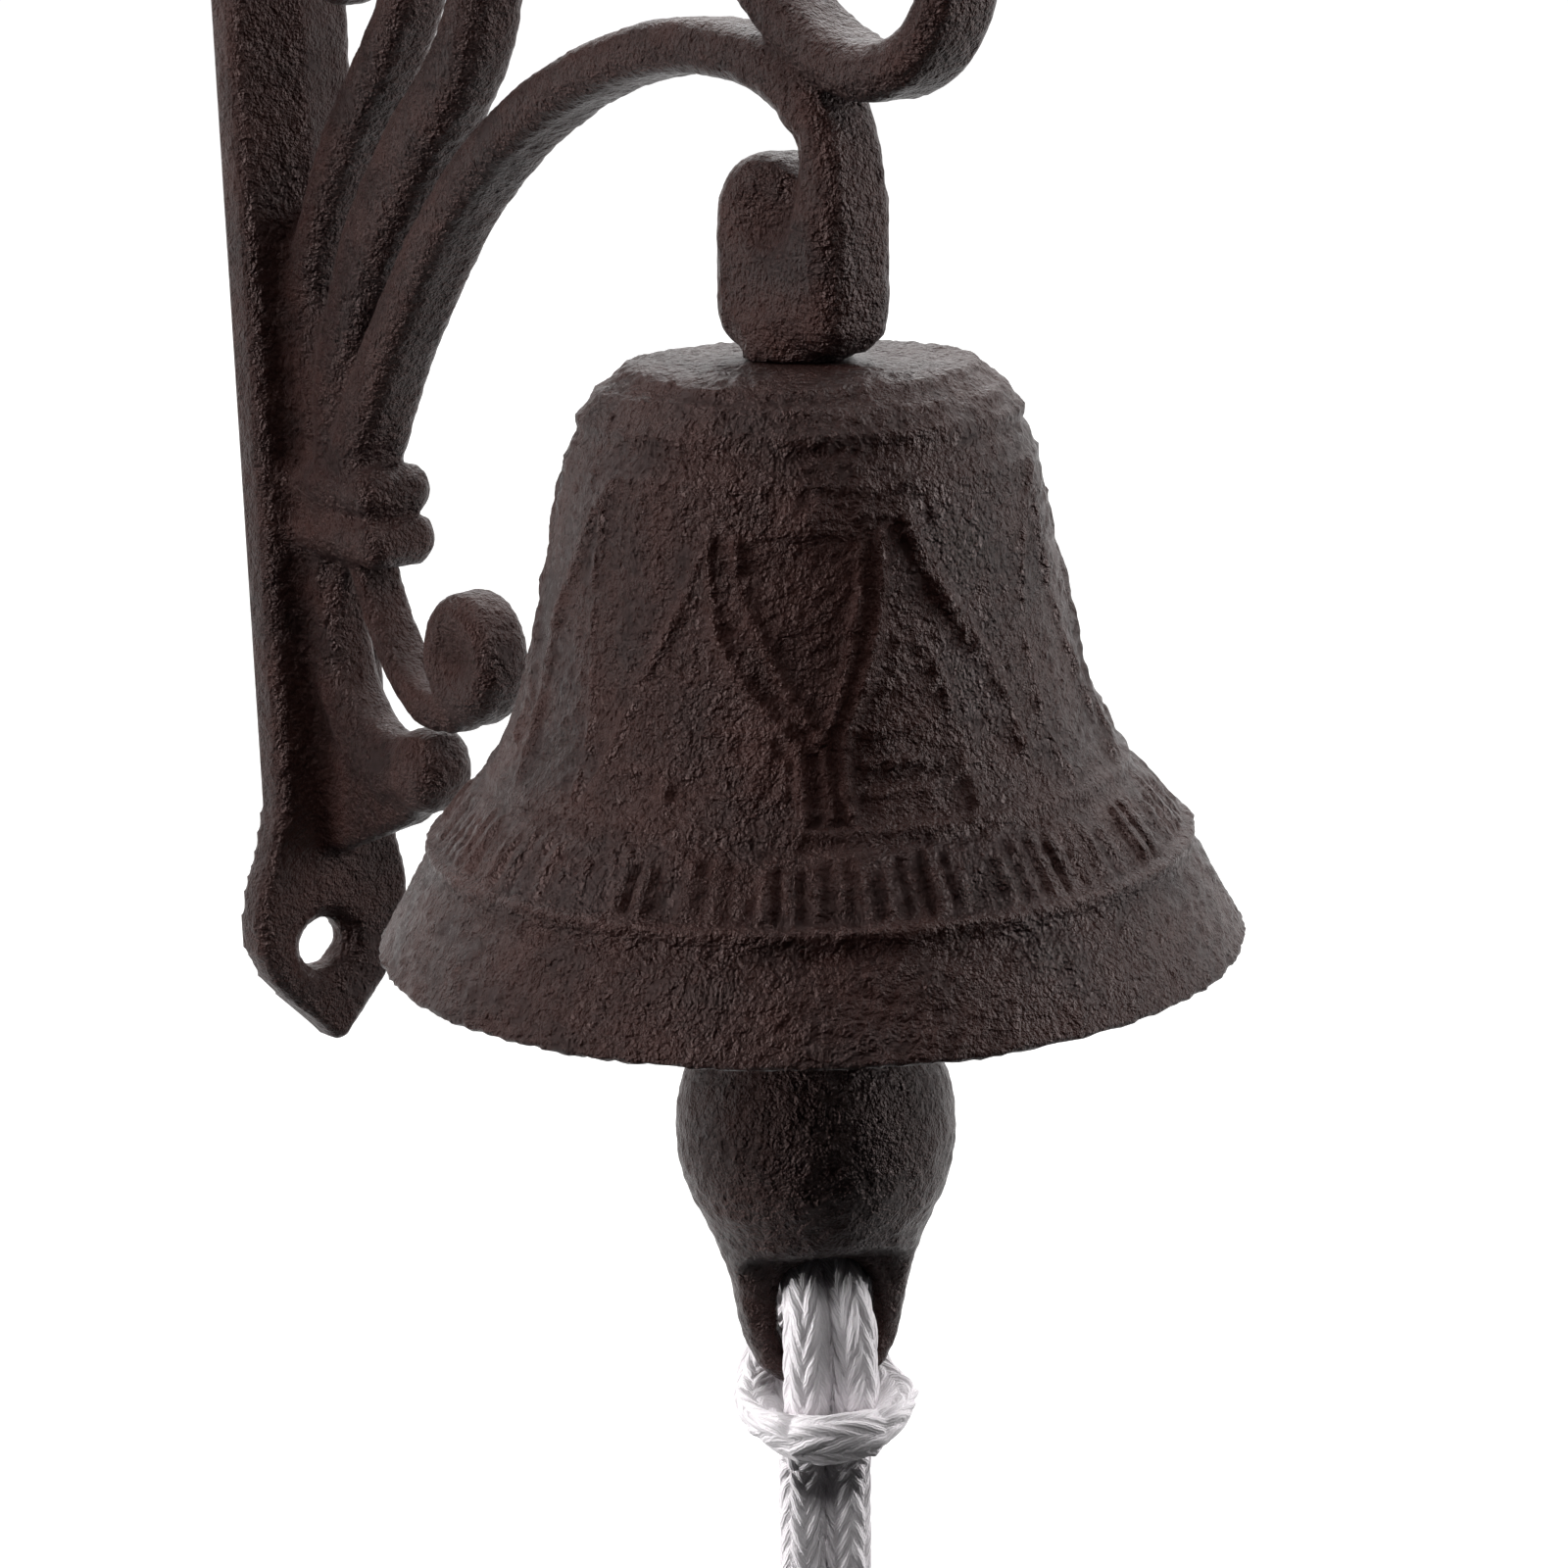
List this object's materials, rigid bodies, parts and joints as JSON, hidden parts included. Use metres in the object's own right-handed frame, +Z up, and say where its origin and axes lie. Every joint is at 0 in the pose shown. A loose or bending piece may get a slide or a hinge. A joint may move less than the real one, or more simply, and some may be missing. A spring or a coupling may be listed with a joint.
{
  "type": "wall mounted bell",
  "caption": "Cast iron bell under the hook of a scroll wall bracket, rung by a swinging clapper with a looped cotton cord.",
  "frame": {"origin": "middle of the bracket's flat back, on the wall plane", "axes": "+Z up, +Y into the wall, so the bell hangs towards -Y; +X to the right as one faces the wall"},
  "size_m": [0.09, 0.142, 0.3143],
  "materials": {
    "cast_iron": "fine sand-cast skin under a thin semi-gloss dark brown lacquer",
    "hardware_steel": "dulled zinc-plated steel",
    "cotton_cord": "soft white braided cotton"
  },
  "bodies": {
    "bracket": {"wall_bracket": "cast_iron", "bell": "cast_iron", "crown_washer": "hardware_steel", "hex_nut": "hardware_steel", "eye_bolt": "hardware_steel"},
    "link": {"clapper_link": "hardware_steel"},
    "clapper": {"clapper": "cast_iron", "cord_hitch": "cotton_cord", "cord_leg_left": "cotton_cord", "cord_leg_right": "cotton_cord", "cord_knot": "cotton_cord"}
  },
  "joints": [
    {"name": "link_swing", "type": "hinge", "parent": "bracket", "child": "link", "pos_m": [0, -0.097, -0.028], "axis": [0.848, -0.5299, 0], "range_deg": [-33, 33]},
    {"name": "clapper_swing", "type": "hinge", "parent": "link", "child": "clapper", "pos_m": [0, -0.097, -0.0389], "axis": [0.5299, 0.848, 0], "range_deg": [-10, 10]}
  ]
}
